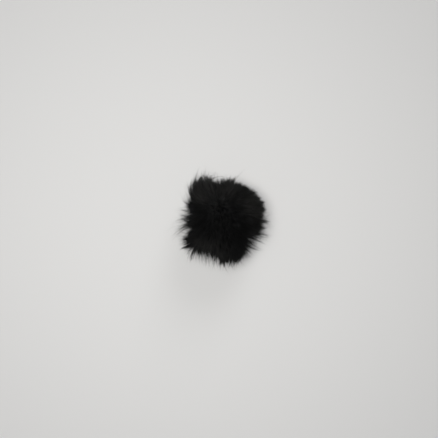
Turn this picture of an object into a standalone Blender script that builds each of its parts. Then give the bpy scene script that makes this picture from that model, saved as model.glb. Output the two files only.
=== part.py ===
"""A black fur pom pom that lies on a flat surface.

Units are metres and +Z is up. The origin is the middle of the flat spot that
the pom pom rests on, and +Y is the side where its fur parts.

The pom pom is one solid: a lumpy ball of packed fur with pointed locks of hair
on it. The locks stand apart, and their roots grow out of the ball. Each runs
from the ball's surface to a second surface around it, the one that the tips
reach.
"""

import math
import random

import bmesh
import bpy
from mathutils import Vector

MM = 0.001

# Driving sizes, from the middle of the ball.
SPREAD_RADIUS = 26.1 * MM
CROWN_RADIUS = 22.6 * MM
CENTRE_HEIGHT = 19.4 * MM
LOCK_LENGTH = 6.2 * MM
SHORTEST_LOCK = 0.7 * MM
ROOT_GAP = 0.9 * MM

# Locks under the ball are shorter: full length above the first elevation,
# shortest below the second.
FULL_LENGTH_FROM = math.radians(-5)
SHORTEST_UNTIL = math.radians(-62)

# How far, as angles about the middle, the tips are combed from their roots.
COMB_DOWN = math.radians(5)
COMB_FROM_PARTING = math.radians(9)
COMB_REACH = math.radians(32)
RUFFLE = math.radians(1.6)
LENGTH_RUFFLE = 0.07

# Under the ball the tips fan out instead, fully below the second elevation.
FAN_OUT = math.radians(5)
FAN_FROM = math.radians(-5)
FAN_FULL = math.radians(-50)

# The parting runs up the +Y side and fades out near the crown.
PARTING_AZIMUTH = math.radians(95)
PARTING_DEPTH = 3.2 * MM
PARTING_WIDTH = math.radians(11)
PARTING_FROM = math.radians(-30)
PARTING_TO = math.radians(66)
PARTING_FADE = math.radians(22)

# Spread is the angle at which a lobe has dropped to about a third.
LOBE_COLUMNS = ("azimuth_deg", "elevation_deg", "bulge_mm", "spread_deg")
LOBES = (
    (121, 6, 4.4, 20),
    (218, -4, 3.6, 18),
    (168, 0, -3.4, 21),
    (38, 12, 1.0, 26),
    (280, -2, 2.0, 26),
    (324, 0, -1.9, 15),
    (55, 46, 0.9, 20),
    (140, 48, 0.8, 20),
)

# The nearest lock's tip is drawn out to each of these places.
TUFT_COLUMNS = ("azimuth_deg", "elevation_deg", "reach_mm")
TUFTS = (
    (-1, 2, 29.4),
    (-10, -6, 27.2),
    (25, 4, 27.8),
    (50, 5, 26.2),
    (83, 4, 26.2),
    (104, 3, 27.6),
    (118, 4, 29.8),
    (133, 2, 28.2),
    (177, -2, 26.2),
    (204, -3, 27.8),
    (217, -2, 29.8),
    (238, -4, 25.6),
    (256, -3, 25.8),
    (271, 0, 27.0),
    (293, -2, 26.4),
    (310, -4, 25.2),
    (340, 0, 25.8),
)

# A lock leaves the ball squarely for this share of its length, then bends to its tip.
LOCK_SQUARE = 0.5
# Its width at points along it, as shares of its length and of its root.
LOCK_COLUMNS = ("along", "width")
LOCK_PROFILE = ((0.30, 0.90), (0.60, 0.70), (0.83, 0.42), (1.0, 0.07))

# The lowest faces of the ball, at the flat spot, carry no lock.
LOCK_COUNT = 300
SPHERE_STEPS = 3
VERTEX_RUFFLE = math.radians(2.6)
SEED = 24

SHARP_ANGLE = math.radians(50)
FUR_COLOUR = (0.011, 0.011, 0.012, 1.0)
FUR_ROUGHNESS = 0.82


def clear_scene():
    for item in list(bpy.data.objects):
        bpy.data.objects.remove(item, do_unlink=True)


def rows(columns, table):
    """The table's rows as dictionaries with the column names as keys."""
    return [dict(zip(columns, row)) for row in table]


def towards(azimuth, elevation):
    """The unit vector at these angles, in radians."""
    flat = math.cos(elevation)
    return Vector((flat * math.cos(azimuth), flat * math.sin(azimuth), math.sin(elevation)))


def smooth(value, low, high):
    """0 at low, 1 at high, with a smooth rise between them."""
    share = min(max((value - low) / (high - low), 0.0), 1.0)
    return share * share * (3 - 2 * share)


def elevation_of(direction):
    return math.asin(max(-1.0, min(1.0, direction.z)))


def parting(direction):
    """How strongly the parting acts here, and on which side of it this is, in radians."""
    along = towards(PARTING_AZIMUTH, 0)
    across = Vector((along.y, -along.x, 0))
    side = math.asin(max(-1.0, min(1.0, direction.dot(across))))
    height = math.atan2(direction.z, direction.dot(along))
    rise = smooth(height, PARTING_FROM, PARTING_FROM + PARTING_FADE)
    fade = 1 - smooth(height, PARTING_TO - PARTING_FADE, PARTING_TO)
    return rise * fade, side, across


def reach(direction):
    """Distance from the middle to the lock tips: an ellipsoid with lobes and a parting."""
    flat = math.hypot(direction.x, direction.y) / SPREAD_RADIUS
    distance = 1 / math.hypot(flat, direction.z / CROWN_RADIUS)
    for lobe in rows(LOBE_COLUMNS, LOBES):
        middle = towards(math.radians(lobe["azimuth_deg"]), math.radians(lobe["elevation_deg"]))
        turn = direction.angle(middle) / math.radians(lobe["spread_deg"])
        distance += lobe["bulge_mm"] * MM * math.exp(-turn * turn)
    strength, side, _ = parting(direction)
    return distance - PARTING_DEPTH * strength * math.exp(-((side / PARTING_WIDTH) ** 2))


def lock_length(direction):
    grown = smooth(elevation_of(direction), SHORTEST_UNTIL, FULL_LENGTH_FROM)
    return SHORTEST_LOCK + (LOCK_LENGTH - SHORTEST_LOCK) * grown


def above_surface(point):
    """The point, lifted onto the surface where it lies below it."""
    return Vector((point.x, point.y, max(point.z, -CENTRE_HEIGHT)))


def combed(direction, chance):
    """The direction of the tip whose root lies in this direction."""
    elevation = elevation_of(direction)
    # Down along the ball's surface, and nothing at the crown and the flat spot.
    down = direction * direction.z - Vector((0, 0, 1))
    under = smooth(-elevation, -FAN_FROM, -FAN_FULL)
    strength, side, across = parting(direction)
    away = strength * math.copysign(1, side) * math.exp(-((side / COMB_REACH) ** 2))
    tip = direction + down * (COMB_DOWN * (1 - under) - FAN_OUT * under)
    tip += across * (COMB_FROM_PARTING * away)
    tip += Vector((chance.gauss(0, 1), chance.gauss(0, 1), chance.gauss(0, 1))) * RUFFLE
    return tip.normalized()


def packed_ball(mesh, chance):
    """A ball of triangles, ruffled and moved onto the surface where the locks have their roots."""
    bmesh.ops.create_icosphere(mesh, subdivisions=SPHERE_STEPS, radius=1)
    for vertex in mesh.verts:
        push = Vector((chance.uniform(-1, 1), chance.uniform(-1, 1), chance.uniform(-1, 1)))
        direction = (vertex.co + push * VERTEX_RUFFLE).normalized()
        vertex.co = above_surface(direction * (reach(direction) - lock_length(direction)))


def lock_tips(faces, chance):
    """Where the lock of each face ends. The marked tufts each take the nearest lock."""
    tips = {}
    for face in faces:
        direction = combed(face.calc_center_median().normalized(), chance)
        length = lock_length(direction)
        root = reach(direction) - length
        stretch = 1 + LENGTH_RUFFLE * chance.gauss(0, 1)
        tips[face] = above_surface(direction * (root + length * stretch))
    taken = set()
    for tuft in rows(TUFT_COLUMNS, TUFTS):
        aim = towards(math.radians(tuft["azimuth_deg"]), math.radians(tuft["elevation_deg"]))
        free = [face for face in faces if face not in taken]
        nearest = min(free, key=lambda face: tips[face].angle(aim))
        tips[nearest] = aim * (tuft["reach_mm"] * MM)
        taken.add(nearest)
    return tips


def grow_lock(mesh, face, tip):
    """Draw the face out along a curve that leaves it squarely and ends at the tip."""
    root = face.calc_center_median()
    bend = root + face.normal * ((tip - root).length * LOCK_SQUARE)
    middle, width = root.copy(), 1.0
    for step in rows(LOCK_COLUMNS, LOCK_PROFILE):
        face = bmesh.ops.extrude_discrete_faces(mesh, faces=[face])["faces"][0]
        along = step["along"]
        point = root * (1 - along) ** 2 + bend * (2 * along * (1 - along)) + tip * along**2
        for vertex in face.verts:
            vertex.co = point + (vertex.co - middle) * (step["width"] / width)
        # Where the lock reaches the surface, it rests level on it.
        lift = max(0.0, -CENTRE_HEIGHT - min(vertex.co.z for vertex in face.verts))
        for vertex in face.verts:
            vertex.co.z += lift
        middle, width = point + Vector((0, 0, lift)), step["width"]


def fur_material():
    material = bpy.data.materials.new("black fur")
    material.use_nodes = True
    shader = material.node_tree.nodes["Principled BSDF"]
    shader.inputs["Base Color"].default_value = FUR_COLOUR
    shader.inputs["Roughness"].default_value = FUR_ROUGHNESS
    shader.inputs["Metallic"].default_value = 0.0
    return material


def fur_ball(collection):
    """The whole pom pom: the packed ball and its locks, as one closed solid."""
    chance = random.Random(SEED)
    mesh = bmesh.new()
    packed_ball(mesh, chance)
    mesh.normal_update()
    upwards = sorted(mesh.faces, key=lambda face: face.calc_center_median().z)
    grown = upwards[-LOCK_COUNT:]
    tips = lock_tips(grown, chance)
    bmesh.ops.inset_individual(mesh, faces=grown, thickness=ROOT_GAP / 2, use_even_offset=True)
    mesh.normal_update()
    for face in grown:
        grow_lock(mesh, face, tips[face])
    bmesh.ops.triangulate(mesh, faces=mesh.faces[:])
    bmesh.ops.recalc_face_normals(mesh, faces=mesh.faces[:])

    data = bpy.data.meshes.new("fur_ball")
    mesh.to_mesh(data)
    mesh.free()
    data.materials.append(fur_material())
    data.shade_smooth()
    data.set_sharp_from_angle(angle=SHARP_ANGLE)
    ball = bpy.data.objects.new("fur_ball", data)
    ball.location = (0, 0, CENTRE_HEIGHT)
    collection.objects.link(ball)
    return ball


def main():
    clear_scene()
    parts = bpy.data.collections.new("pom pom")
    bpy.context.scene.collection.children.link(parts)
    fur_ball(parts)


main()
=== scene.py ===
"""Looks of a black fur pom pom: its dense underfur, its coat of hair gathered into locks, its tufts and
loose wisps, and a pale floor, soft light and camera.

Sizes are in metres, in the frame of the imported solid. A direction is a unit vector from the middle of
the ball, with its azimuth from +X and its elevation from level. The direction that a hair is given is
the one in which it ends. Its root lies elsewhere, so that the hair lies over."""

import math

import bpy
import numpy as np
from bpy.props import FloatProperty, FloatVectorProperty, IntProperty, PointerProperty
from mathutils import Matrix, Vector


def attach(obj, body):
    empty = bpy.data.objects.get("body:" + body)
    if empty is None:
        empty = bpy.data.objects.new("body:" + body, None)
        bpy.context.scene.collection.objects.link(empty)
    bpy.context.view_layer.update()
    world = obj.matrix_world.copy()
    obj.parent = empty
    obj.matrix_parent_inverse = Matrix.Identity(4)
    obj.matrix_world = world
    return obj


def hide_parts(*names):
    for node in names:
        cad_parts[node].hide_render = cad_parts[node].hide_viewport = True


bl_info = {
    "name": "Fur Pom Pom",
    "version": (1, 0, 0),
    "blender": (4, 5, 0),
    "location": "3D View > Sidebar > Pom Pom",
    "description": "Builds a black fur pom pom, hair by hair, with its floor, light and camera",
    "category": "Object",
}

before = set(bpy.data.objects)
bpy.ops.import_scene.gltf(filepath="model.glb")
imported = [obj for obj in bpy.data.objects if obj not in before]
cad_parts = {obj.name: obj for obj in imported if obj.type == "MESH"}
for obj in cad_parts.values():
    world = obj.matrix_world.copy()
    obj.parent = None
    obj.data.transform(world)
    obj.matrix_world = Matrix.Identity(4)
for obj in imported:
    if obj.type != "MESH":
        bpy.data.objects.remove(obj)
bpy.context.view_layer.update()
NODE = "fur_ball"
BODY = "root"

MM = 0.001
GOLDEN_ANGLE = math.pi * (3 - math.sqrt(5))

# The outline, in degrees and millimetres about the middle of the ball, as on the solid.
# Spread is the angle at which a lobe has dropped to about a third.
LOBE_COLUMNS = ("azimuth", "elevation", "bulge", "spread")
LOBES = (
    (121, 6, 4.4, 20),
    (218, -4, 3.6, 18),
    (168, 0, -3.4, 21),
    (38, 12, 1.0, 26),
    (280, -2, 2.0, 26),
    (324, 0, -1.9, 15),
    (55, 46, 0.9, 20),
    (140, 48, 0.8, 20),
)

# Pointed tufts that stand out of the coat, and how far from the middle they end.
TUFT_COLUMNS = ("azimuth", "elevation", "reach")
TUFTS = (
    (-1, 2, 29.4),
    (-10, -6, 27.2),
    (25, 4, 27.8),
    (50, 5, 26.2),
    (83, 4, 26.2),
    (104, 3, 27.2),
    (118, 4, 28.6),
    (133, 2, 27.6),
    (177, -2, 26.2),
    (204, -3, 27.8),
    (217, -2, 29.8),
    (238, -4, 25.6),
    (256, -3, 25.8),
    (271, 0, 27.0),
    (293, -2, 26.4),
    (310, -4, 25.2),
    (340, 0, 25.8),
)

# How the fur ends round the rim, by azimuth in degrees: how far inside the outline it stops being
# dense and the mean length of its wisps beyond that, in millimetres, the angle by which its roots lie
# clockwise of its tips, seen from above, and how much it clumps, from 0, where each strand ends by
# itself, to 1.
FRINGE_COLUMNS = ("azimuth", "drawn_in", "wisps", "lean", "clumped")
FRINGE = (
    (0, 5.2, 2.6, 0, 0.6),
    (12, 0.8, 0.7, 0, 1),
    (20, -0.7, 0.4, 0, 1),
    (30, 0.4, 0.6, 0, 1),
    (45, 0.5, 0.4, 0, 1),
    (60, 1.4, 0.4, 0, 1),
    (70, 1.7, 0.5, 2, 1),
    (82, 0.0, 0.8, 4, 1),
    (94, 3.9, 1.2, -2, 1),
    (103, 1.5, 1.35, -8, 1),
    (110, 0.0, 0.7, -12, 1),
    (122, -0.3, 0.2, -18, 1),
    (128, -1.8, 0.4, -20, 1),
    (134, 0.0, 0.3, -22, 1),
    (140, 5.4, 0.3, -22, 1),
    (150, 0.4, 0.8, -22, 0.6),
    (160, 4.4, 2.6, -12, 0.3),
    (168, 10.6, 3.2, -4, 0.2),
    (176, 11.8, 6.0, 0, 0.2),
    (184, 3.6, 3.0, -3, 0.2),
    (192, 7.8, 1.3, -5, 0.3),
    (202, 4.4, 2.4, -7, 0.4),
    (212, 4.4, 2.1, -2, 1),
    (228, 4.4, 2.5, 6, 1),
    (240, 6.9, 3.3, 8, 0.7),
    (256, 8.6, 3.4, 6, 0.8),
    (270, 2.4, 2.1, 2, 1),
    (282, 3.2, 1.4, 0, 1),
    (292, 1.2, 1.7, 0, 0.8),
    (305, 4.8, 2.2, 2, 0.4),
    (320, 12.2, 5.0, 6, 0.15),
    (333, 11.6, 5.4, 6, 0.2),
    (348, 2.7, 1.4, 2, 0.6),
)
# The first two of these away from the rim, and the elevations between which they take over.
COVER_DRAWN_IN = 1.6
COVER_WISPS = 1.0
RIM_FADE = (25, 60)
# The share of the drawing in by which the roots and the underfur lie deeper.
ROOTS_DRAWN_IN = 0.5
# The longest strands and the longest loose wisps, beyond the dense fur, as multiples of the wisps'
# mean length, and about how far from the ball's middle the farthest hair ends.
LONGEST_TAIL = 4
LONGEST_WISP = 4.2
FARTHEST = 31.8 * MM
# Uneven ends round the rim, as waves: how many in a turn, their phase, and their depth in millimetres.
# The tilt is how far the phase moves on from level to the top.
RIM_WAVE_COLUMNS = ("turns", "phase", "depth")
RIM_WAVES = ((37, 1.0, 0.45), (58, 4.0, 0.45))
RIM_WAVE_TILT = 2
# The share of a lock's length beyond the dense fur that it has in common with its clump.
SHARED_TAIL = 0.7
# How much each axis counts in what a clump takes in. Height counts least, so that at the rim a clump
# is taller than it is wide and shows as a point in the outline.
CLUMP_SHAPE = np.array([1, 1, 0.25])
# Where the fur doesn't clump: the share to which its locks gather, the share by which its strands
# gather less, and the shares by which the chance shifts of its hairs and the spread of its wisps' tips
# are wider.
LOOSE_LOCKS = 0.5
LOOSE_STRANDS = 0.6
LOOSE_STRAY = 1.5
LOOSE_WISPS = 1.5

# Painted light and shade on the tips: where they are painted a lighter black as painted sheen, on the
# upper lobes, the right shoulder, the lower left and the bottom, which the light catches, or a darker one
# as painted shade where the amount is negative, in the parting's groove and on the left side, as angles
# in degrees. Three narrow rows paint the lit lock beside the parting. Spread is as for the lobes.
PAINTED_TIP_LIGHT_COLUMNS = ("azimuth", "elevation", "amount", "spread")
PAINTED_TIP_LIGHT = (
    (118, 26, 3.3, 18),
    (76, 28, 2.2, 17),
    (22, 31, 4.2, 15),
    (84, 42, 2.6, 4),
    (91, 51, 2.6, 4),
    (101, 60, 1.8, 4),
    (231, 22, 1.5, 15),
    (168, 34, -0.5, 26),
    (256, 28, 1.5, 20),
    (99, 42, -1.6, 7),
)
# The amount everywhere, which is the tips' own tone, and what the rim adds to it as painted sheen,
# fading between these elevations.
PLAIN_TIPS = 0.04
RIM_PAINTED_SHEEN = 0.38
RIM_PAINTED_SHEEN_FADE = (10, 50)

# The coat's sections, so that no mesh is too large. Each starts at its azimuth, in degrees.
COAT_SECTIONS = (
    ("fur_right", -36),
    ("fur_right_lobe", 36),
    ("fur_left_lobe", 95),
    ("fur_left", 160),
    ("fur_front", 235),
)

# The parting's line and width, in degrees. Along its plane it deepens between the first two
# elevations and fades out between the next two.
PARTING_AZIMUTH = 95
PARTING_WIDTH = 11
PARTING_RISE = (-5, 35)
PARTING_FADE = (44, 66)
# How far from its line the hair is combed away from it, and how close to the line that starts.
COMB_REACH = 32
PARTING_SOFT = 5
# Above the first elevation the hair is full length, and hangs down. Below the second it is shortest,
# and fans out.
LENGTH_RANGE = (-5, -62)
FAN_RANGE = (-5, -50)
# The hair lies over away from a whorl, the spot on the crown where the parting ends. It stands up at
# the whorl itself, lies over fully past the first angle from it, and stands up again over the last two.
WHORL_AZIMUTH = 106
WHORL_ELEVATION = 60
WHORL_RANGE = (30, 50, 90)
# How many times their ruffle is added to the locks at the whorl.
WHORL_RUFFLE = 4.5
# The share by which the hair gathers less at the very top, growing between these elevations.
CROWN_LOOSE = 0.85
CROWN_RANGE = (25, 80)
# A lock leaves the ball squarely for this share of its length. Its tip drifts by up to this angle, in
# radians, in a slow swirl of this size, with this phase and rate along each axis.
LOCK_SQUARE = 0.5
SWIRL_SIZE = 5.5 * MM
SWIRL_ANGLE = 0.05
SWIRL_WAVES = ((1.7, 0.8), (0.4, 1.1), (2.9, 0.9))
# How the wisps are drawn to the rim: the scale of their heights there.
RIM_PULL = 0.45

# Lights, with azimuth, elevation and spread in degrees, sizes in metres and power in watts.
DISTANT_COLUMNS = ("name", "azimuth", "elevation", "spread", "strength")
DISTANT_LIGHTS = (
    ("overhead light", 90, 89.5, 15, 0.75),
    ("window light", 70, 33, 30, 0.72),
)
SOFTBOX_COLUMNS = ("name", "azimuth", "elevation", "distance", "size", "power", "colour")
SOFTBOXES = (("left softbox", 166, 82.5, 0.42, 0.17, 1.05, (1.0, 0.985, 0.955)),)
# The even glow's strength, and the grey that the camera sees past the floor.
SKY_GLOW = 0.10
BACKDROP_COLOUR = (0.37, 0.37, 0.37, 1)

# A hair's tube has this many sides, each of which takes up this much of the UV map's width.
HAIR_SIDES = 3
UV_MAP = "OFBake"
UV_SIDE = 0.012
# How far up the map the tube's closed foot reaches, in rings.
UV_FOOT = 0.2
# A hair steeper than this, as a sine, has its sides turned from X and not from Z.
STEEP = 0.8
# Where the root colour gives way, as shares of a hair, and the bands along hairs: how often they
# come across and along the UV map, and how strongly they darken the hair and roughen it.
ROOT_END = (0.1, 0.5)
BAND_SCALE = (60, 7, 1)
BAND_DARK = 0.55
BAND_ROUGH = 0.25
# Hair lower than this is pressed on the surface.
SOFT_FLOOR = 1.2 * MM
# Points whose nearest centre is found at once.
NEAREST_BATCH = 4000


class PomPomShape(bpy.types.PropertyGroup):
    """Sizes of the whole ball."""

    spread_radius: FloatProperty(
        name="Spread radius",
        description="From the middle to the hair tips, seen from above",
        default=26.1 * MM,
        unit="LENGTH",
    )
    crown_radius: FloatProperty(
        name="Crown radius",
        description="From the middle up to the hair tips",
        default=22.6 * MM,
        unit="LENGTH",
    )
    centre_height: FloatProperty(
        name="Centre height",
        description="Height of the ball's middle above the surface that it rests on",
        default=19.4 * MM,
        unit="LENGTH",
    )
    fur_depth: FloatProperty(
        name="Fur depth",
        description="How far the loose hair stands off the dense underfur",
        default=6.2 * MM,
        unit="LENGTH",
    )
    pressed_depth: FloatProperty(
        name="Pressed depth",
        description="How far it stands off where the ball rests on it",
        default=0.7 * MM,
        unit="LENGTH",
    )
    parting_depth: FloatProperty(
        name="Parting depth",
        description="Depth of the cleft where the fur parts",
        default=3.2 * MM,
        unit="LENGTH",
    )


class FurCoat(bpy.types.PropertyGroup):
    """Number, size and lie of the hairs."""

    seed: IntProperty(name="Seed", description="Start of the random draws", default=7)
    hairs: IntProperty(name="Hairs", description="Hairs in the whole coat", default=62000)
    locks: IntProperty(name="Locks", description="Locks that the hairs gather into", default=5000)
    clumps: IntProperty(
        name="Clumps", description="Wider clumps that the locks lie together in", default=1600
    )
    strands: IntProperty(
        name="Strands", description="Finer strands that the locks are made of", default=16000
    )
    wisps: IntProperty(name="Wisps", description="Loose wisps of guard hair", default=1800)
    wisp_hairs: IntProperty(name="Wisp hairs", description="Hairs in each wisp", default=5)
    tuft_hairs: IntProperty(name="Tuft hairs", description="Hairs in each marked tuft", default=70)
    root_depth: FloatProperty(
        name="Root depth",
        description="How far the roots lie below the top of the underfur",
        default=2.0 * MM,
        unit="LENGTH",
    )
    hair_width: FloatProperty(
        name="Hair width",
        description="Thickness of a hair at its root",
        default=0.15 * MM,
        unit="LENGTH",
    )
    gather: FloatProperty(
        name="Gather",
        description="How closely a lock's hairs meet at its tip",
        default=0.78,
        subtype="FACTOR",
    )
    clump_gather: FloatProperty(
        name="Clump gather",
        description="How closely a clump's locks meet at their tips",
        default=0.6,
        subtype="FACTOR",
    )
    comb_from_parting: FloatProperty(
        name="Comb from parting",
        description="Angle by which the tips are combed away from the parting",
        default=math.radians(12),
        subtype="ANGLE",
    )
    comb_down: FloatProperty(
        name="Comb down",
        description="Angle by which the tips hang down from their roots",
        default=math.radians(5),
        subtype="ANGLE",
    )
    comb_crown: FloatProperty(
        name="Comb crown",
        description="Angle by which the hair on the crown lies over",
        default=math.radians(20),
        subtype="ANGLE",
    )
    ruffle: FloatProperty(
        name="Ruffle",
        description="Chance turn of each lock's tip",
        default=math.radians(3.2),
        subtype="ANGLE",
    )


class FurFinish(bpy.types.PropertyGroup):
    """Colours of the fur."""

    root_colour: FloatVectorProperty(
        name="Root colour",
        description="Colour deep in the fur",
        default=(0.0036, 0.0038, 0.0042, 1),
        subtype="COLOR",
        size=4,
    )
    hair_colour: FloatVectorProperty(
        name="Hair colour",
        description="Colour along a hair",
        default=(0.0040, 0.0043, 0.0047, 1),
        subtype="COLOR",
        size=4,
    )
    tip_colour: FloatVectorProperty(
        name="Tip colour",
        description="Colour at the end of a hair",
        default=(0.12, 0.117, 0.112, 1),
        subtype="COLOR",
        size=4,
    )


class StudioStage(bpy.types.PropertyGroup):
    """Floor, light and camera."""

    camera_distance: FloatProperty(
        name="Camera distance",
        description="From the lens straight down to the middle of the ball",
        default=0.35,
        unit="LENGTH",
    )
    view_width: FloatProperty(
        name="View width",
        description="Width that the picture takes in at the middle of the ball",
        default=0.2628,
        unit="LENGTH",
    )
    floor_size: FloatProperty(
        name="Floor size",
        description="Length of each side of the floor",
        default=6.0,
        unit="LENGTH",
    )
    floor_colour: FloatVectorProperty(
        name="Floor colour",
        description="Colour of the pale floor",
        default=(0.70, 0.70, 0.70, 1),
        subtype="COLOR",
        size=4,
    )


def rows(columns, table):
    """The table's columns as named arrays."""
    return dict(zip(columns, np.array(table, float).T))


def unit(vectors):
    """The vectors, each divided by its length."""
    return vectors / np.linalg.norm(vectors, axis=-1, keepdims=True)


def towards(azimuth, elevation):
    """Unit vectors at these angles, in degrees."""
    turn, rise = np.broadcast_arrays(np.radians(azimuth), np.radians(elevation))
    return np.stack([np.cos(rise) * np.cos(turn), np.cos(rise) * np.sin(turn), np.sin(rise)], -1)


def smooth(values, low, high):
    """0 at low, 1 at high, and the smooth cubic s * s * (3 - 2 s) between them."""
    share = np.clip((values - low) / (high - low), 0, 1)
    return share * share * (3 - 2 * share)


def even_directions(count, chance, jitter):
    """Directions spread evenly over a sphere: equal steps in height, each turned on by the golden
    angle, then moved at random by up to jitter times their spacing."""
    steps = np.arange(count)
    height = 1 - (2 * steps + 1) / count
    turn = steps * GOLDEN_ANGLE
    flat = np.sqrt(1 - height * height)
    spacing = math.sqrt(4 * math.pi / count)
    spots = np.stack([flat * np.cos(turn), flat * np.sin(turn), height], -1)
    return unit(spots + chance.uniform(-1, 1, spots.shape) * spacing * jitter)


def nearer_rim(directions):
    """The directions, drawn towards the rim by the pull p: height z becomes z (p + (1 - p) z z)."""
    height = directions[:, 2] * (RIM_PULL + (1 - RIM_PULL) * directions[:, 2] ** 2)
    flat = unit(directions[:, :2]) * np.sqrt(1 - height * height)[:, None]
    return np.concatenate([flat, height[:, None]], 1)


def elevation_of(directions):
    """The directions' elevations, in degrees."""
    return np.degrees(np.arcsin(np.clip(directions[:, 2], -1, 1)))


def angle_to(directions, aims):
    """The angle between each direction and each aim, in degrees."""
    return np.degrees(np.arccos(np.clip(directions @ aims.T, -1, 1)))


def patches(directions, columns, table, amount, size=1):
    """Rounded patches, one about each row of the table, added up: amount * size * exp(-t * t), where t
    is the angle from the row's direction divided by its spread."""
    table = rows(columns, table)
    turn = angle_to(directions, towards(table["azimuth"], table["elevation"])) / table["spread"]
    return np.exp(-turn * turn) @ (table[amount] * size)


def parting(directions):
    """How strongly the parting acts, from 0 to 1, how far to its side each direction is, in degrees,
    and the direction across it. It lies in an upright plane through the middle, on one side of it."""
    along = towards(PARTING_AZIMUTH, 0)
    across = np.array([along[1], -along[0], 0])
    side = np.degrees(np.arcsin(np.clip(directions @ across, -1, 1)))
    height = np.degrees(np.arctan2(directions[:, 2], directions @ along))
    strength = smooth(height, *PARTING_RISE) * (1 - smooth(height, *PARTING_FADE))
    return strength, side, across


def reach(directions, shape):
    """Distance from the middle to the hair tips: an ellipsoid, with a patch for each lobe, less the
    parting's groove, which is a bell curve across its line."""
    flat = np.hypot(directions[:, 0], directions[:, 1]) / shape.spread_radius
    distance = 1 / np.hypot(flat, directions[:, 2] / shape.crown_radius)
    distance = distance + patches(directions, LOBE_COLUMNS, LOBES, "bulge", MM)
    strength, side, _ = parting(directions)
    return distance - shape.parting_depth * strength * np.exp(-((side / PARTING_WIDTH) ** 2))


def fur_depth(directions, shape):
    """How far the hair stands off the underfur: less and less towards the resting spot."""
    pressed = smooth(elevation_of(directions), *LENGTH_RANGE)
    return shape.fur_depth + (shape.pressed_depth - shape.fur_depth) * pressed


def around_rim(directions, column, cover):
    """A column of the fringe table: straight lines between its rows, by azimuth, fading to the
    cover's own value away from the rim."""
    azimuth = np.degrees(np.arctan2(directions[:, 1], directions[:, 0]))
    table = rows(FRINGE_COLUMNS, FRINGE)
    rim = 1 - smooth(np.abs(elevation_of(directions)), *RIM_FADE)
    return cover + (np.interp(azimuth, table["azimuth"], table[column], period=360) - cover) * rim


def fringe(directions):
    """How far the dense fur stops inside the outline, and the mean length of its wisps. Sine waves
    of the azimuth, which run slanting up the ball, make the clumped parts of the rim uneven."""
    waves = rows(RIM_WAVE_COLUMNS, RIM_WAVES)
    azimuth = np.arctan2(directions[:, 1], directions[:, 0])[:, None]
    slant = directions[:, 2:] * RIM_WAVE_TILT
    uneven = np.sin(azimuth * waves["turns"] + slant + waves["phase"]) @ waves["depth"]
    uneven = uneven * around_rim(directions, "clumped", 0)
    drawn_in = around_rim(directions, "drawn_in", COVER_DRAWN_IN) + uneven
    return drawn_in * MM, around_rim(directions, "wisps", COVER_WISPS) * MM


def underfur_radius(directions, shape):
    """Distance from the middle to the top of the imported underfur. It lies deeper where the dense
    fur stops short of the outline."""
    drawn_in, _ = fringe(directions)
    return reach(directions, shape) - fur_depth(directions, shape) - ROOTS_DRAWN_IN * drawn_in


def hair_ends(directions, shape, coat, tail):
    """Where on its curve each hair ends, as a share of the way to the outline. It passes the dense
    fur by the tail times the wisps' mean length, but ends no farther out than the farthest hair."""
    drawn_in, wisps = fringe(directions)
    length = shape.fur_depth + coat.root_depth + ROOTS_DRAWN_IN * drawn_in
    return 1 + np.minimum(tail * wisps - drawn_in, FARTHEST - reach(directions, shape)) / length


def tip_tone_and_painted_light(directions):
    """How pale the tips are: the plain fur's own tone, with painted sheen on the rim and patches of
    painted sheen and painted shade.
    """
    rim = RIM_PAINTED_SHEEN * (1 - smooth(np.abs(elevation_of(directions)), *RIM_PAINTED_SHEEN_FADE))
    return PLAIN_TIPS + rim + patches(directions, PAINTED_TIP_LIGHT_COLUMNS, PAINTED_TIP_LIGHT, "amount")


def rooted(directions, coat):
    """Where the roots lie of hair that ends in these directions: nearer to the whorl, and turned
    about the upright axis at the rim, so that the hair lies over and its tips stay evenly spread."""
    whorl = towards(WHORL_AZIMUTH, WHORL_ELEVATION)
    turn = angle_to(directions, whorl)
    away = unit(directions * (directions @ whorl)[:, None] - whorl)
    full, fade, end = WHORL_RANGE
    strength = np.minimum(turn / full, 1) * (1 - smooth(turn, fade, end))
    sideways = np.stack([-directions[:, 1], directions[:, 0], np.zeros(len(directions))], 1)
    lean = np.radians(around_rim(directions, "lean", 0))[:, None]
    return unit(directions - away * (coat.comb_crown * strength)[:, None] - sideways * lean)


def combed(directions, coat):
    """The directions of tips, turned down over the sides, outwards under the ball, and away from
    the parting on both its sides: by an S-curve across its line, times a bell curve that ends it."""
    down = directions * directions[:, 2:] - np.array([0, 0, 1])
    under = smooth(elevation_of(directions), *FAN_RANGE)
    strength, side, across = parting(directions)
    away = strength * np.tanh(side / PARTING_SOFT) * np.exp(-((side / COMB_REACH) ** 2))
    tips = directions + down * (coat.comb_down * (1 - 2 * under))[:, None]
    return unit(tips + across * (coat.comb_from_parting * away)[:, None])


def swirl(points, size, strength):
    """A slow, smooth drift: along each axis, strength * sin(next + phase) * cos(rate * last), where
    next and last are the point's coordinates along the two other axes, divided by size."""
    waves = points / size
    turned = [
        np.sin(waves[..., (axis + 1) % 3] + phase) * np.cos(rate * waves[..., (axis + 2) % 3])
        for axis, (phase, rate) in enumerate(SWIRL_WAVES)
    ]
    return np.stack(turned, -1) * strength


def root_points(directions, shape, coat):
    """Where hairs that end in these directions have their roots, sunk in the underfur."""
    directions = rooted(directions, coat)
    sunk = coat.root_depth * fur_depth(directions, shape) / shape.fur_depth
    return directions * (underfur_radius(directions, shape) - sunk)[:, None]


def square_bends(starts, ends):
    """Where the curves between these points bend, so that they leave the ball squarely."""
    length = np.linalg.norm(ends - starts, axis=1, keepdims=True)
    return starts + unit(starts) * length * LOCK_SQUARE


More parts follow.
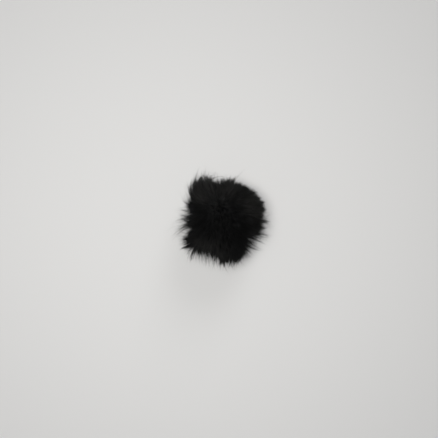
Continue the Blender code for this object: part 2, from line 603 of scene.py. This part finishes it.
def lock_curves(directions, shape, coat, chance, ruffle):
    """Start, bend and end of each lock's curve. It leaves the ball squarely, and its tip, on the
    outline, is combed, drifts in the slow swirl and is turned a little by chance, more at the whorl."""
    starts = root_points(directions, shape, coat)
    tips = combed(directions, coat) + swirl(starts, SWIRL_SIZE, SWIRL_ANGLE)
    whorl = angle_to(directions, towards(WHORL_AZIMUTH, WHORL_ELEVATION))
    ruffle = ruffle * (1 + WHORL_RUFFLE * np.exp(-((whorl / WHORL_RANGE[0]) ** 2)))[:, None]
    tips = unit(tips + chance.normal(0, 1, tips.shape) * ruffle)
    ends = tips * reach(tips, shape)[:, None]
    return starts, square_bends(starts, ends), ends


def on_surface(points):
    """The points, the lowest of them pressed onto the surface: below a small height h, the height z
    becomes h * exp((z - h) / h)."""
    height = points[..., 2]
    pressed = SOFT_FLOOR * np.exp(np.minimum(height / SOFT_FLOOR - 1, 0))
    points[..., 2] = np.where(height < SOFT_FLOOR, pressed, height)
    return points


def nearest(points, centres):
    """For each point p, the number of the centre c that lies nearest: the largest p.c - c.c / 2."""
    found = np.empty(len(points), int)
    half_square = (centres * centres).sum(1) / 2
    for start in range(0, len(points), NEAREST_BATCH):
        part = slice(start, start + NEAREST_BATCH)
        found[part] = np.argmax(points[part] @ centres.T - half_square, 1)
    return found


def curve(start, bend, end, share):
    """Points on a quadratic curve at these shares s of it, for each start, bend and end: start times
    (1 - s) (1 - s), plus bend times 2 s (1 - s), plus end times s s."""
    share = np.asarray(share)[..., None]
    start, bend, end = (np.expand_dims(points, -2) for points in (start, bend, end))
    return start * (1 - share) ** 2 + bend * 2 * share * (1 - share) + end * share**2


def widths_and_shades(kind, coat, chance, pale):
    """Each hair's width at its rings, and its shade: a draw from 0 to 1 times how pale its tip is,
    painted sheen and shade included.
    """
    thick = coat.hair_width * chance.uniform(*kind.THICKNESS, (len(pale), 1))
    return np.array(kind.WIDTHS) * thick, np.clip(chance.beta(*kind.SHADES, len(pale)) * pale, 0, 1)


def hair_mesh(name, paths, widths, shades):
    """A mesh of closed hairs. Each is a tube of three sides round its path that ends in a point:
    ring k is path point k plus half the width times the cosine and sine of each third of a turn,
    along two directions square to the hair. The UV map's u is the hair's shade and v its place along
    the hair."""
    count, points = paths.shape[:2]
    rings = points - 1
    line = unit(paths[:, -1] - paths[:, 0])
    helper = np.where(np.abs(line[:, 2:]) < STEEP, [[0.0, 0.0, 1.0]], [[1.0, 0.0, 0.0]])
    first = unit(np.cross(line, helper))
    second = np.cross(line, first)
    turn = np.arange(HAIR_SIDES) * 2 * math.pi / HAIR_SIDES
    circle = np.cos(turn)[:, None] * first[:, None, :] + np.sin(turn)[:, None] * second[:, None, :]
    tube = paths[:, :rings, None, :] + widths[:, :rings, None, None] / 2 * circle[:, None]
    per_hair = rings * HAIR_SIDES + 1
    vertices = np.concatenate([tube.reshape(count, -1, 3), paths[:, -1:, :]], 1)
    vertices[..., 2] = np.maximum(vertices[..., 2], 0)

    corners, across, along = [], [], []
    for ring in range(rings - 1):
        for side in range(HAIR_SIDES):
            here, after = ring * HAIR_SIDES + side, ring * HAIR_SIDES + (side + 1) % HAIR_SIDES
            up, up_after = here + HAIR_SIDES, after + HAIR_SIDES
            corners += [(here, after, up_after), (here, up_after, up)]
            across += [(side, side + 1, side + 1), (side, side + 1, side)]
            along += [(ring, ring, ring + 1), (ring, ring + 1, ring + 1)]
    last = (rings - 1) * HAIR_SIDES
    for side in range(HAIR_SIDES):
        corners.append((last + side, last + (side + 1) % HAIR_SIDES, per_hair - 1))
        across.append((side, side + 1, side + 0.5))
        along.append((rings - 1, rings - 1, rings))
    corners.append((2, 1, 0))
    across.append((0, 1, 1))
    along.append((0, 0, UV_FOOT))
    corners, across, along = (np.array(part) for part in (corners, across, along))

    faces = (corners[None] + np.arange(count)[:, None, None] * per_hair).reshape(-1)
    u = shades[:, None, None] * (1 - HAIR_SIDES * UV_SIDE) + across[None] * UV_SIDE
    v = np.broadcast_to(along[None] / rings, u.shape)
    mesh = bpy.data.meshes.new(name)
    mesh.vertices.add(count * per_hair)
    mesh.vertices.foreach_set("co", vertices.astype(np.float32).ravel())
    mesh.loops.add(len(faces))
    mesh.loops.foreach_set("vertex_index", faces.astype(np.int32))
    mesh.polygons.add(len(faces) // 3)
    mesh.polygons.foreach_set("loop_start", np.arange(0, len(faces), 3, dtype=np.int32))
    layer = mesh.uv_layers.new(name=UV_MAP, do_init=False)
    layer.uv.foreach_set("vector", np.stack([u, v], -1).astype(np.float32).ravel())
    mesh.shade_smooth()
    mesh.update(calc_edges=True)
    mesh.validate()
    return mesh


def add_piece(mesh, material):
    """Make the finished mesh a piece that rides on the pom pom and stands for its solid."""
    piece = bpy.data.objects.new(mesh.name, mesh)
    bpy.context.scene.collection.objects.link(piece)
    mesh.materials.append(material)
    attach(piece, BODY)
    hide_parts(NODE)


def feed(tree, node, inputs):
    """Give the node's inputs these values, or links from other nodes' outputs."""
    for name, value in inputs.items():
        if isinstance(value, bpy.types.NodeSocket):
            tree.links.new(value, node.inputs[name])
        else:
            node.inputs[name].default_value = value


def add_node(tree, kind, inputs, **settings):
    """The outputs of a new node of this kind, with these settings and inputs."""
    node = tree.nodes.new(kind)
    for name, value in settings.items():
        setattr(node, name, value)
    feed(tree, node, inputs)
    return node.outputs


def mix(tree, factor, first, second, blend="MIX"):
    """A mix of two colours."""
    inputs = {"Factor": factor, "A": first, "B": second}
    return add_node(tree, "ShaderNodeMix", inputs, data_type="RGBA", blend_type=blend)["Result"]


def maths(tree, operation, *values):
    """The result of this operation on the values."""
    return add_node(tree, "ShaderNodeMath", dict(enumerate(values)), operation=operation)[0]


def smooth_rise(tree, value, low, high):
    """0 at low, 1 at high, and a smooth rise between them."""
    inputs = {"Value": value, "From Min": low, "From Max": high}
    return add_node(tree, "ShaderNodeMapRange", inputs, interpolation_type="SMOOTHSTEP")["Result"]


def new_material(name, roughness, specular):
    """A material and its shader."""
    material = bpy.data.materials.new(name)
    material.use_nodes = True
    shader = material.node_tree.nodes["Principled BSDF"]
    feed(material.node_tree, shader, {"Roughness": roughness, "Specular IOR Level": specular})
    return material, shader


def hair_tone_group():
    """Colour and roughness of a hair from its UV map: dark at the root, lighter at the tip, each
    hair a little different by u, which also carries painted sheen and shade, with faint uneven bands
    along it."""
    name = "Hair Tone"
    if name in bpy.data.node_groups:
        return bpy.data.node_groups[name]
    group = bpy.data.node_groups.new(name, "ShaderNodeTree")
    for label in ("Root Colour", "Hair Colour", "Tip Colour"):
        group.interface.new_socket(label, in_out="INPUT", socket_type="NodeSocketColor")
    for label in ("Tip Start", "Tip Share", "Roughness"):
        group.interface.new_socket(label, in_out="INPUT", socket_type="NodeSocketFloat")
    group.interface.new_socket("Colour", in_out="OUTPUT", socket_type="NodeSocketColor")
    group.interface.new_socket("Roughness", in_out="OUTPUT", socket_type="NodeSocketFloat")

    given = group.nodes.new("NodeGroupInput").outputs
    place = add_node(group, "ShaderNodeUVMap", {}, uv_map=UV_MAP)["UV"]
    shade, along, _ = add_node(group, "ShaderNodeSeparateXYZ", {0: place})
    stretch = add_node(group, "ShaderNodeMapping", {"Vector": place, "Scale": BAND_SCALE})["Vector"]
    bands = add_node(group, "ShaderNodeTexNoise", {"Vector": stretch, "Scale": 1.0, "Detail": 3.0})["Fac"]

    body = smooth_rise(group, along, *ROOT_END)
    body = mix(group, body, given["Root Colour"], given["Hair Colour"])
    tip = maths(group, "MULTIPLY", smooth_rise(group, along, given["Tip Start"], 1.0), shade)
    tip = maths(group, "MULTIPLY", tip, given["Tip Share"])
    colour = mix(group, tip, body, given["Tip Colour"])
    colour = mix(group, BAND_DARK, colour, bands, "MULTIPLY")
    roughness = maths(group, "MULTIPLY_ADD", bands, BAND_ROUGH, given["Roughness"])
    feed(group, group.nodes.new("NodeGroupOutput"), {"Colour": colour, "Roughness": roughness})
    return group


def hair_material(name, finish, tip_start, tip_share, roughness, specular):
    """Black hair with a soft sheen, and with paler tips where its shade is high; the shade holds chance
    tone and painted sheen and shade.
    """
    if name in bpy.data.materials:
        return bpy.data.materials[name]
    material, shader = new_material(name, roughness, specular)
    inputs = {
        "Root Colour": finish.root_colour,
        "Hair Colour": finish.hair_colour,
        "Tip Colour": finish.tip_colour,
        "Tip Start": tip_start,
        "Tip Share": tip_share,
        "Roughness": roughness,
    }
    tone = add_node(material.node_tree, "ShaderNodeGroup", inputs, node_tree=hair_tone_group())
    feed(material.node_tree, shader, {"Base Color": tone["Colour"], "Roughness": tone["Roughness"]})
    return material


def underfur_material(finish):
    """Matt black underfur with fine strokes of packed hair in its colour and its relief."""
    material, shader = new_material("underfur", roughness=0.9, specular=0.1)
    tree = material.node_tree
    place = add_node(tree, "ShaderNodeTexCoord", {})["Object"]
    strokes = {"Vector": place, "Scale": 900, "Detail": 6, "Distortion": 0.6}
    strokes = add_node(tree, "ShaderNodeTexNoise", strokes)["Fac"]
    tone = mix(tree, strokes, finish.root_colour, finish.hair_colour)
    relief = {"Height": strokes, "Strength": 0.8, "Distance": 0.4 * MM}
    relief = add_node(tree, "ShaderNodeBump", relief)["Normal"]
    feed(tree, shader, {"Base Color": tone, "Normal": relief})
    return material


class POMPOM_OT_underfur(bpy.types.Operator):
    """Build the dense ball of underfur that shows between the hairs"""

    bl_idname = "pompom.underfur"
    bl_label = "Underfur"

    ROWS = 110
    COLUMNS = 220
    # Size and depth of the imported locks' waves, which end between these elevations.
    WAVE_SIZE = 0.45 * MM
    WAVE_DEPTH = 0.35 * MM
    WAVE_RANGE = (-60, -30)

    def execute(self, context):
        scene = context.scene
        add_piece(self.ball(scene.pompom_shape), underfur_material(scene.pompom_finish))
        return {"FINISHED"}

    def ball(self, shape):
        """A globe of rows and columns with one vertex at each pole, level at the resting spot. Its
        radius is the tips' reach less the loose fur's depth, with small waves for packed locks."""
        elevation = np.linspace(90, -90, self.ROWS + 1)[1:-1]
        azimuth = np.arange(self.COLUMNS) * 360 / self.COLUMNS
        grid = towards(azimuth[None, :], elevation[:, None]).reshape(-1, 3)
        directions = np.concatenate([grid, [[0, 0, 1]], [[0, 0, -1]]])
        radius = underfur_radius(directions, shape)
        waves = swirl(directions * radius[:, None], self.WAVE_SIZE, self.WAVE_DEPTH).sum(-1)
        waves = waves * smooth(elevation_of(directions), *self.WAVE_RANGE)
        places = directions * (radius + waves)[:, None]
        places[:, 2] = np.maximum(places[:, 2] + shape.centre_height, 0)

        rings, columns = self.ROWS - 1, self.COLUMNS
        index = np.arange(rings * columns).reshape(rings, columns)
        after = np.roll(index, -1, 1)
        quads = np.stack([index[:-1], index[1:], after[1:], after[:-1]], -1).reshape(-1, 4)
        top, bottom = rings * columns, rings * columns + 1
        cap = np.stack([np.full(columns, top), index[0], after[0]], -1)
        foot = np.stack([np.full(columns, bottom), after[-1], index[-1]], -1)
        mesh = bpy.data.meshes.new("underfur")
        mesh.from_pydata(places, [], quads.tolist() + cap.tolist() + foot.tolist())
        mesh.shade_smooth()
        mesh.validate()
        return mesh


class POMPOM_OT_coat(bpy.types.Operator):
    """Build the coat, tens of thousands of hairs in strands, locks and clumps"""

    bl_idname = "pompom.coat"
    bl_label = "Coat of hair"

    # Shares of a hair at which its tube has a ring, and its width there.
    ALONG = (0.0, 0.58, 1.0)
    WIDTHS = (1.0, 0.74, 0.0)
    # A hair's width, as a range of shares of the set width, and the powers of its shade's draw.
    THICKNESS = (0.7, 1.25)
    SHADES = (2, 3)
    # Chance shifts of the directions, as shares of their spacing.
    LOCK_JITTER = 0.35
    STRAND_JITTER = 0.4
    HAIR_JITTER = 0.5
    CLUMP_JITTER = 0.4
    # A hair is shorter by this share times the square of its distance from its lock's middle, in lock
    # radii up to a limit, and by chance, by this share on average. It keeps at least the last share.
    SHORTER_ASIDE = 0.07
    ASIDE_LIMIT = 1.6
    SHORTER_BY_CHANCE = 0.04
    LEAST_LENGTH = 0.3
    # The share of its distance from its strand that a hair gives up by its tip, and the powers of the
    # way along by which hairs near their strand and strands near their lock.
    STRAND_GATHER = 0.9
    STRAND_POWER = 1.2
    LOCK_POWER = 1.7
    # How much wider than its roots a lock would end if it didn't gather, and a hair's chance shift.
    FLARE = 0.45
    STRAY = 0.16 * MM

    def execute(self, context):
        scene = context.scene
        shape, coat = scene.pompom_shape, scene.pompom_coat
        material = hair_material(
            "coat hair", scene.pompom_finish, tip_start=0.35, tip_share=0.7, roughness=0.38, specular=0.15
        )
        chance = np.random.default_rng(coat.seed)
        directions, paths, widths, shades = self.hairs(shape, coat, chance)
        azimuth = np.degrees(np.arctan2(directions[:, 1], directions[:, 0]))
        starts = [start for _, start in COAT_SECTIONS]
        for (name, start), end in zip(COAT_SECTIONS, starts[1:] + [starts[0] + 360]):
            mine = (azimuth - start) % 360 < end - start
            add_piece(hair_mesh(name, paths[mine], widths[mine], shades[mine]), material)
        return {"FINISHED"}

    def hairs(self, shape, coat, chance):
        """The hairs' directions, paths, widths and shades. A hair follows its lock's curve. It starts
        at its own root, and its distance from the lock's middle shrinks towards the tip, first within
        its strand and then within its lock. The locks' ends are drawn together in clumps."""
        locks = even_directions(coat.locks, chance, self.LOCK_JITTER)
        strands = even_directions(coat.strands, chance, self.STRAND_JITTER)
        hairs = even_directions(coat.hairs, chance, self.HAIR_JITTER)
        combed_locks, combed_strands = combed(locks, coat), combed(strands, coat)
        strand_of = nearest(combed(hairs, coat), combed_strands)
        strand_lock = nearest(combed_strands, combed_locks)
        lock_of = strand_lock[strand_of]

        starts, bends, ends = lock_curves(locks, shape, coat, chance, coat.ruffle)
        clumps = even_directions(coat.clumps, chance, self.CLUMP_JITTER)
        clump_of = nearest(combed_locks * CLUMP_SHAPE, combed(clumps, coat) * CLUMP_SHAPE)
        clump_ends = lock_curves(clumps, shape, coat, chance, coat.ruffle)[2]
        gather = 1 - CROWN_LOOSE * smooth(elevation_of(locks), *CROWN_RANGE)[:, None]
        clumped = around_rim(locks, "clumped", 1)[:, None]
        ends = ends + (clump_ends[clump_of] - ends) * coat.clump_gather * gather * clumped
        gather = gather * (LOOSE_LOCKS + (1 - LOOSE_LOCKS) * clumped)
        tail = self.tails(coat, chance, clump_of, strand_lock, around_rim(strands, "clumped", 1))
        strand_end = hair_ends(strands, shape, coat, tail)[strand_of, None]

        strand_root = root_points(strands, shape, coat)[strand_of]
        own_root = root_points(hairs, shape, coat)
        from_lock = (strand_root - starts[lock_of])[:, None, :]
        from_strand = (own_root - strand_root)[:, None, :]
        along = self.lengths(shape, coat, chance, own_root - starts[lock_of])
        middle = curve(starts[lock_of], bends[lock_of], ends[lock_of], along * strand_end)
        along = along[..., None]
        loose = (1 - around_rim(hairs, "clumped", 1))[:, None, None]
        strand_gather = self.STRAND_GATHER * along**self.STRAND_POWER * (1 - LOOSE_STRANDS * loose)
        lock_gather = coat.gather * gather[lock_of, None] * along**self.LOCK_POWER
        aside = from_lock * (1 - lock_gather) + from_strand * (1 - strand_gather)
        stray = chance.normal(0, 1, middle.shape) * along * self.STRAY * (1 + LOOSE_STRAY * loose)
        paths = middle + aside * (1 + self.FLARE * along) + stray
        paths = on_surface(paths + [0, 0, shape.centre_height])
        widths, shades = widths_and_shades(self, coat, chance, tip_tone_and_painted_light(hairs))
        return hairs, paths, widths, shades

    def tails(self, coat, chance, clump_of, strand_lock, clumped):
        """How far each strand passes the dense fur, in mean lengths of the wisps there. It is drawn
        for the strand alone where the fur is loose, and where it clumps for its lock, mostly in
        common with the lock's clump."""
        lock_tail = chance.exponential(SHARED_TAIL, coat.clumps)[clump_of]
        lock_tail = lock_tail + chance.exponential(1 - SHARED_TAIL, coat.locks)
        tail = chance.exponential(1, coat.strands)
        tail = tail + (lock_tail[strand_lock] - tail) * clumped
        return np.minimum(tail, LONGEST_TAIL)

    def lengths(self, shape, coat, chance, from_middle):
        """The shares of its strand's length at which each hair has its rings. Hairs are shorter the
        farther their roots lie from their lock's middle, and by chance."""
        lock_radius = shape.spread_radius * math.sqrt(math.pi / coat.locks)
        aside = np.linalg.norm(from_middle, axis=1, keepdims=True) / lock_radius
        shorter = self.SHORTER_ASIDE * np.minimum(aside, self.ASIDE_LIMIT) ** 2
        shorter = shorter + chance.exponential(self.SHORTER_BY_CHANCE, (len(from_middle), 1))
        return np.array(self.ALONG) * np.maximum(1 - shorter, self.LEAST_LENGTH)


class POMPOM_OT_tufts(bpy.types.Operator):
    """Build the marked tufts that stand out of the coat"""

    bl_idname = "pompom.tufts"
    bl_label = "Tufts"

    ALONG = (0.0, 0.4, 0.72, 1.0)
    WIDTHS = (1.0, 0.85, 0.55, 0.0)
    THICKNESS = (0.6, 1.1)
    SHADES = (2, 3)
    # How far apart the roots lie, as an angle, the shortest hair's share of the tuft's length, and the
    # chance shift of a hair's end.
    ROOT_SPREAD = 0.035
    LEAST_LENGTH = 0.75
    STRAY = 0.45 * MM

    def execute(self, context):
        scene = context.scene
        shape, coat = scene.pompom_shape, scene.pompom_coat
        chance = np.random.default_rng(coat.seed + 1)
        tufts = rows(TUFT_COLUMNS, TUFTS)
        count = coat.tuft_hairs
        aims = np.repeat(towards(tufts["azimuth"], tufts["elevation"]), count, 0)
        ends = aims * np.repeat(tufts["reach"] * MM, count)[:, None]
        spread = chance.normal(0, 1, aims.shape) * self.ROOT_SPREAD
        starts = root_points(unit(aims + spread), shape, coat)
        share = np.array(self.ALONG) * chance.uniform(self.LEAST_LENGTH, 1, (len(aims), 1))
        stray = chance.normal(0, 1, ends.shape) * self.STRAY
        paths = curve(starts, square_bends(starts, ends), ends + stray, share)
        paths = on_surface(paths + [0, 0, shape.centre_height])
        widths, shades = widths_and_shades(self, coat, chance, tip_tone_and_painted_light(aims))
        material = hair_material(
            "tuft hair", scene.pompom_finish, tip_start=0.4, tip_share=0.8, roughness=0.4, specular=0.15
        )
        add_piece(hair_mesh("tufts", paths, widths, shades), material)
        return {"FINISHED"}


class POMPOM_OT_wisps(bpy.types.Operator):
    """Build the wisps of longer, finer guard hair that stand loose of the locks"""

    bl_idname = "pompom.wisps"
    bl_label = "Wisps"

    ALONG = (0.0, 0.4, 0.75, 1.0)
    WIDTHS = (0.7, 0.62, 0.42, 0.0)
    THICKNESS = (0.55, 1)
    SHADES = (2, 2)
    JITTER = 0.9
    RUFFLE = math.radians(3.5)
    # The mean length beyond the dense fur, in the wisps' mean lengths there, and the shortest hair's
    # share of its wisp's length.
    LONGER = 2.5
    LEAST_LENGTH = 0.72
    # How far a wisp's end sinks at most, how far its hairs lie apart, the share of that which they give
    # up towards their tips, and their waves: the depth, and the angle reached at the tip.
    DROOP = 0.9 * MM
    APART = 0.35 * MM
    GATHER = 0.8
    WAVE = 0.12 * MM
    WAVE_TURN = math.pi * 1.5

    def execute(self, context):
        scene = context.scene
        shape, coat = scene.pompom_shape, scene.pompom_coat
        chance = np.random.default_rng(coat.seed + 2)
        wisps = nearer_rim(even_directions(coat.wisps, chance, self.JITTER))
        starts, bends, ends = lock_curves(wisps, shape, coat, chance, self.RUFFLE)
        tail = np.minimum(chance.gamma(self.LONGER, 1, len(wisps)), LONGEST_WISP)
        wisp_end = hair_ends(wisps, shape, coat, tail)
        droop = np.array([0, 0, -1]) * chance.uniform(0, self.DROOP, (len(wisps), 1))
        mine = np.repeat(np.arange(len(wisps)), coat.wisp_hairs)
        along = np.array(self.ALONG) * chance.uniform(self.LEAST_LENGTH, 1, (len(mine), 1))
        paths = curve(starts[mine], bends[mine], (ends + droop)[mine], along * wisp_end[mine, None])
        along = along[..., None]
        loose = (1 - around_rim(wisps, "clumped", 1))[mine, None, None]
        gather = self.GATHER * along * (1 - loose)
        aside = chance.normal(0, self.APART, (len(mine), 1, 3)) * (1 - gather)
        aside = aside * (1 + LOOSE_WISPS * loose * along)
        wave = chance.normal(0, self.WAVE, (len(mine), 1, 3)) * np.sin(along * self.WAVE_TURN)
        paths = on_surface(paths + aside + wave + [0, 0, shape.centre_height])
        widths, shades = widths_and_shades(self, coat, chance, tip_tone_and_painted_light(wisps)[mine])
        material = hair_material(
            "guard hair", scene.pompom_finish, tip_start=0.4, tip_share=0.8, roughness=0.35, specular=0.18
        )
        add_piece(hair_mesh("wisps", paths, widths, shades), material)
        return {"FINISHED"}


class POMPOM_OT_stage(bpy.types.Operator):
    """Build the pale floor, the soft lights and the camera above the pom pom"""

    bl_idname = "pompom.stage"
    bl_label = "Stage"

    # Where the picture's middle falls beside the ball's, and the sensor's width in millimetres.
    AIM = (-2.4 * MM, 0.9 * MM)
    SENSOR = 36

    def execute(self, context):
        scene = context.scene
        stage, shape = scene.pompom_stage, scene.pompom_shape
        self.floor(stage)
        for light in DISTANT_LIGHTS:
            self.distant_light(**dict(zip(DISTANT_COLUMNS, light)))
        for light in SOFTBOXES:
            self.softbox(**dict(zip(SOFTBOX_COLUMNS, light)))
        self.sky(scene)
        self.camera(scene, stage, shape)
        scene.view_settings.view_transform = "Standard"
        return {"FINISHED"}

    def floor(self, stage):
        """A level square under the pom pom."""
        mesh = bpy.data.meshes.new("floor")
        half = stage.floor_size / 2
        corners = [(-half, -half, 0), (half, -half, 0), (half, half, 0), (-half, half, 0)]
        mesh.from_pydata(corners, [], [(0, 1, 2, 3)])
        floor = bpy.data.objects.new("floor", mesh)
        bpy.context.scene.collection.objects.link(floor)
        material, shader = new_material("pale floor", roughness=0.9, specular=0.1)
        shader.inputs["Base Color"].default_value = stage.floor_colour
        mesh.materials.append(material)

    def lamp(self, name, kind, place):
        """A lamp of this kind, which shines from this place on the pom pom."""
        data = bpy.data.lights.new(name, kind)
        lamp = bpy.data.objects.new(name, data)
        lamp.location = place
        lamp.rotation_euler = (-Vector(place)).to_track_quat("-Z", "Y").to_euler()
        bpy.context.scene.collection.objects.link(lamp)
        return data

    def distant_light(self, name, azimuth, elevation, spread, strength):
        """Even light from this direction. The spread makes its shadows soft."""
        data = self.lamp(name, "SUN", towards(azimuth, elevation))
        data.angle = math.radians(spread)
        data.energy = strength

    def softbox(self, name, azimuth, elevation, distance, size, power, colour):
        """A round softbox in this direction."""
        data = self.lamp(name, "AREA", towards(azimuth, elevation) * distance)
        data.shape = "DISK"
        data.size = size
        data.energy = power
        data.color = colour

    def sky(self, scene):
        """A weak, even glow, and a backdrop that only the camera sees."""
        world = bpy.data.worlds.new("soft sky")
        scene.world = world
        world.use_nodes = True
        tree = world.node_tree
        glow = tree.nodes["Background"]
        feed(tree, glow, {"Color": (1, 1, 1, 1), "Strength": SKY_GLOW})
        backdrop = add_node(tree, "ShaderNodeBackground", {"Color": BACKDROP_COLOUR})[0]
        seen = add_node(tree, "ShaderNodeLightPath", {})["Is Camera Ray"]
        either = add_node(tree, "ShaderNodeMixShader", {0: seen, 1: glow.outputs[0], 2: backdrop})[0]
        feed(tree, tree.nodes["World Output"], {"Surface": either})

    def camera(self, scene, stage, shape):
        """A camera that looks straight down and takes in the view width at the ball's middle."""
        data = bpy.data.cameras.new("camera")
        data.sensor_width = self.SENSOR
        data.lens = data.sensor_width * stage.camera_distance / stage.view_width
        camera = bpy.data.objects.new("camera", data)
        camera.location = (*self.AIM, shape.centre_height + stage.camera_distance)
        scene.collection.objects.link(camera)
        scene.camera = camera


class POMPOM_PT_panel(bpy.types.Panel):
    """The pom pom's sizes, finish and stage"""

    bl_idname = "POMPOM_PT_panel"
    bl_label = "Pom Pom"
    bl_space_type = "VIEW_3D"
    bl_region_type = "UI"
    bl_category = "Pom Pom"

    def draw(self, context):
        for group in SETTINGS:
            settings = getattr(context.scene, group)
            for name in settings.bl_rna.properties.keys():
                if name not in ("rna_type", "name"):
                    self.layout.prop(settings, name)
        for operator in OPERATORS:
            self.layout.operator(operator.bl_idname)


OPERATORS = (
    POMPOM_OT_stage,
    POMPOM_OT_underfur,
    POMPOM_OT_coat,
    POMPOM_OT_tufts,
    POMPOM_OT_wisps,
)
SETTINGS = {
    "pompom_shape": PomPomShape,
    "pompom_coat": FurCoat,
    "pompom_finish": FurFinish,
    "pompom_stage": StudioStage,
}
CLASSES = (*SETTINGS.values(), *OPERATORS, POMPOM_PT_panel)


def register():
    for kind in CLASSES:
        bpy.utils.register_class(kind)
    for name, group in SETTINGS.items():
        setattr(bpy.types.Scene, name, PointerProperty(type=group))


def unregister():
    for name in SETTINGS:
        delattr(bpy.types.Scene, name)
    for kind in reversed(CLASSES):
        bpy.utils.unregister_class(kind)


def main():
    register()
    bpy.ops.pompom.stage()
    bpy.ops.pompom.underfur()
    bpy.ops.pompom.coat()
    bpy.ops.pompom.tufts()
    bpy.ops.pompom.wisps()


if __name__ == "__main__":
    main()
